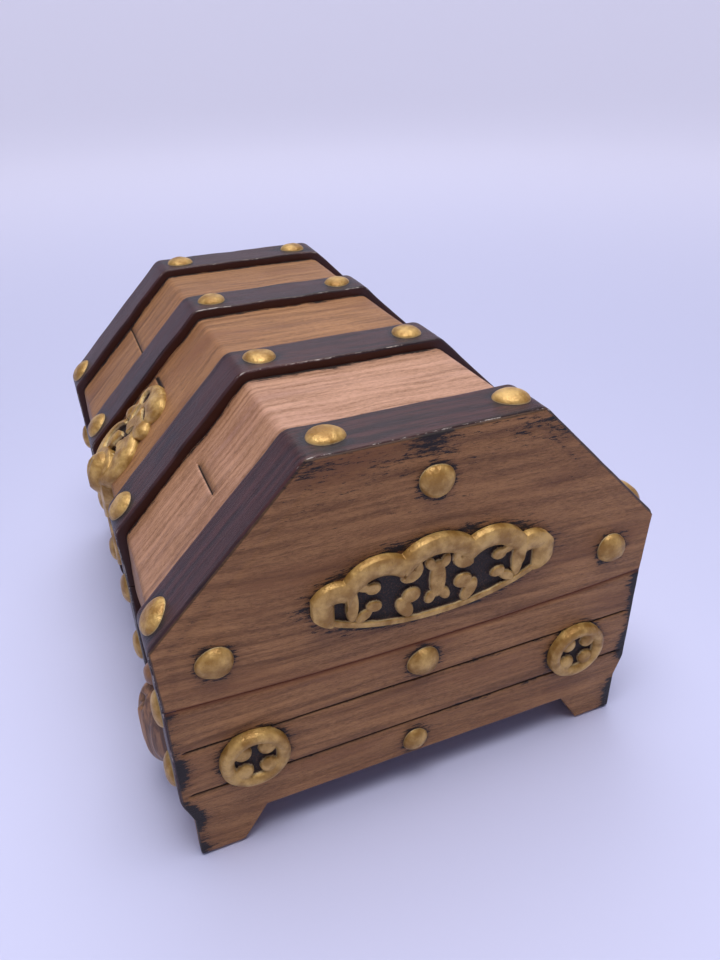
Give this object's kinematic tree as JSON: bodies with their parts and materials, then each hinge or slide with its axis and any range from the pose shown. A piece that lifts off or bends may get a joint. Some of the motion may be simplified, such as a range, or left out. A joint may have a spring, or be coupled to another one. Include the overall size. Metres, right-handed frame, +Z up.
{
  "type": "treasure chest bubbling ornament",
  "caption": "Treasure chest ornament with a hinged, sloped lid, dark straps, gold studs, moulded plates, bracket feet, and an air spigot, air stone and treasure inside.",
  "frame": {"origin": "on the ground under the middle of the chest", "axes": "+Z up, the length along X, the front with the lock along -Y and the hinges along +Y"},
  "size_m": [0.1958, 0.16, 0.1257],
  "materials": {
    "board_paint": "cast resin painted as tan boards with fine brushed grain and black antiquing, matt",
    "strap_paint": "cast resin painted dark purple brown with streaks along the strap, satin varnish",
    "gold_paint": "old gold metallic paint on cast resin, satin, shaded dark in the hollows",
    "handle_paint": "cast resin painted brown with lengthwise grain, satin",
    "hinge_plastic": "moulded plastic, dark brown, matt",
    "pin_brass": "plain brass, slightly dull",
    "grommet_rubber": "black rubber",
    "inlet_plastic": "black moulded plastic",
    "tube_silicone": "clear silicone hose, milky",
    "nipple_plastic": "white moulded plastic",
    "stone_mineral": "bonded mineral grit, blue grey, rough",
    "tray_plastic": "dark brown moulded plastic",
    "coin_paint": "bright gold paint on moulded coins",
    "gem_plastic": "glossy red plastic",
    "pearl_plastic": "pearly off-white plastic"
  },
  "bodies": {
    "base": {"base_shell": "board_paint", "base_strap_front_1": "strap_paint", "base_strap_front_2": "strap_paint", "base_strap_front_3": "strap_paint", "base_strap_front_4": "strap_paint", "base_strap_back_1": "strap_paint", "base_strap_back_2": "strap_paint", "base_strap_back_3": "strap_paint", "base_strap_back_4": "strap_paint", "base_studs": "gold_paint", "rosette_left_front": "gold_paint", "rosette_left_back": "gold_paint", "rosette_right_front": "gold_paint", "rosette_right_back": "gold_paint", "handle": "handle_paint", "lock_plate": "gold_paint", "hinge_leaf_base_left": "hinge_plastic", "hinge_leaf_base_right": "hinge_plastic", "hinge_pin_left": "pin_brass", "hinge_pin_right": "pin_brass", "inlet_grommet": "grommet_rubber", "air_inlet": "inlet_plastic", "air_tube": "tube_silicone", "stone_nipple": "nipple_plastic", "air_stone": "stone_mineral", "stone_cradle": "inlet_plastic", "treasure_tray": "tray_plastic", "tray_posts": "tray_plastic", "coin_heap": "coin_paint", "gems": "gem_plastic", "pearls": "pearl_plastic"},
    "lid": {"lid_shell": "board_paint", "lid_strap_1": "strap_paint", "lid_strap_2": "strap_paint", "lid_strap_3": "strap_paint", "lid_strap_4": "strap_paint", "lid_studs": "gold_paint", "end_plate_left": "gold_paint", "end_plate_right": "gold_paint", "front_plate": "gold_paint", "hasp": "gold_paint", "hinge_leaf_lid_left": "hinge_plastic", "hinge_leaf_lid_right": "hinge_plastic"}
  },
  "joints": [
    {"name": "lid_hinge", "type": "hinge", "parent": "base", "child": "lid", "pos_m": [0, 0.0764, 0.05875], "axis": [-1, 0, 0], "range_deg": [0, 30]}
  ]
}
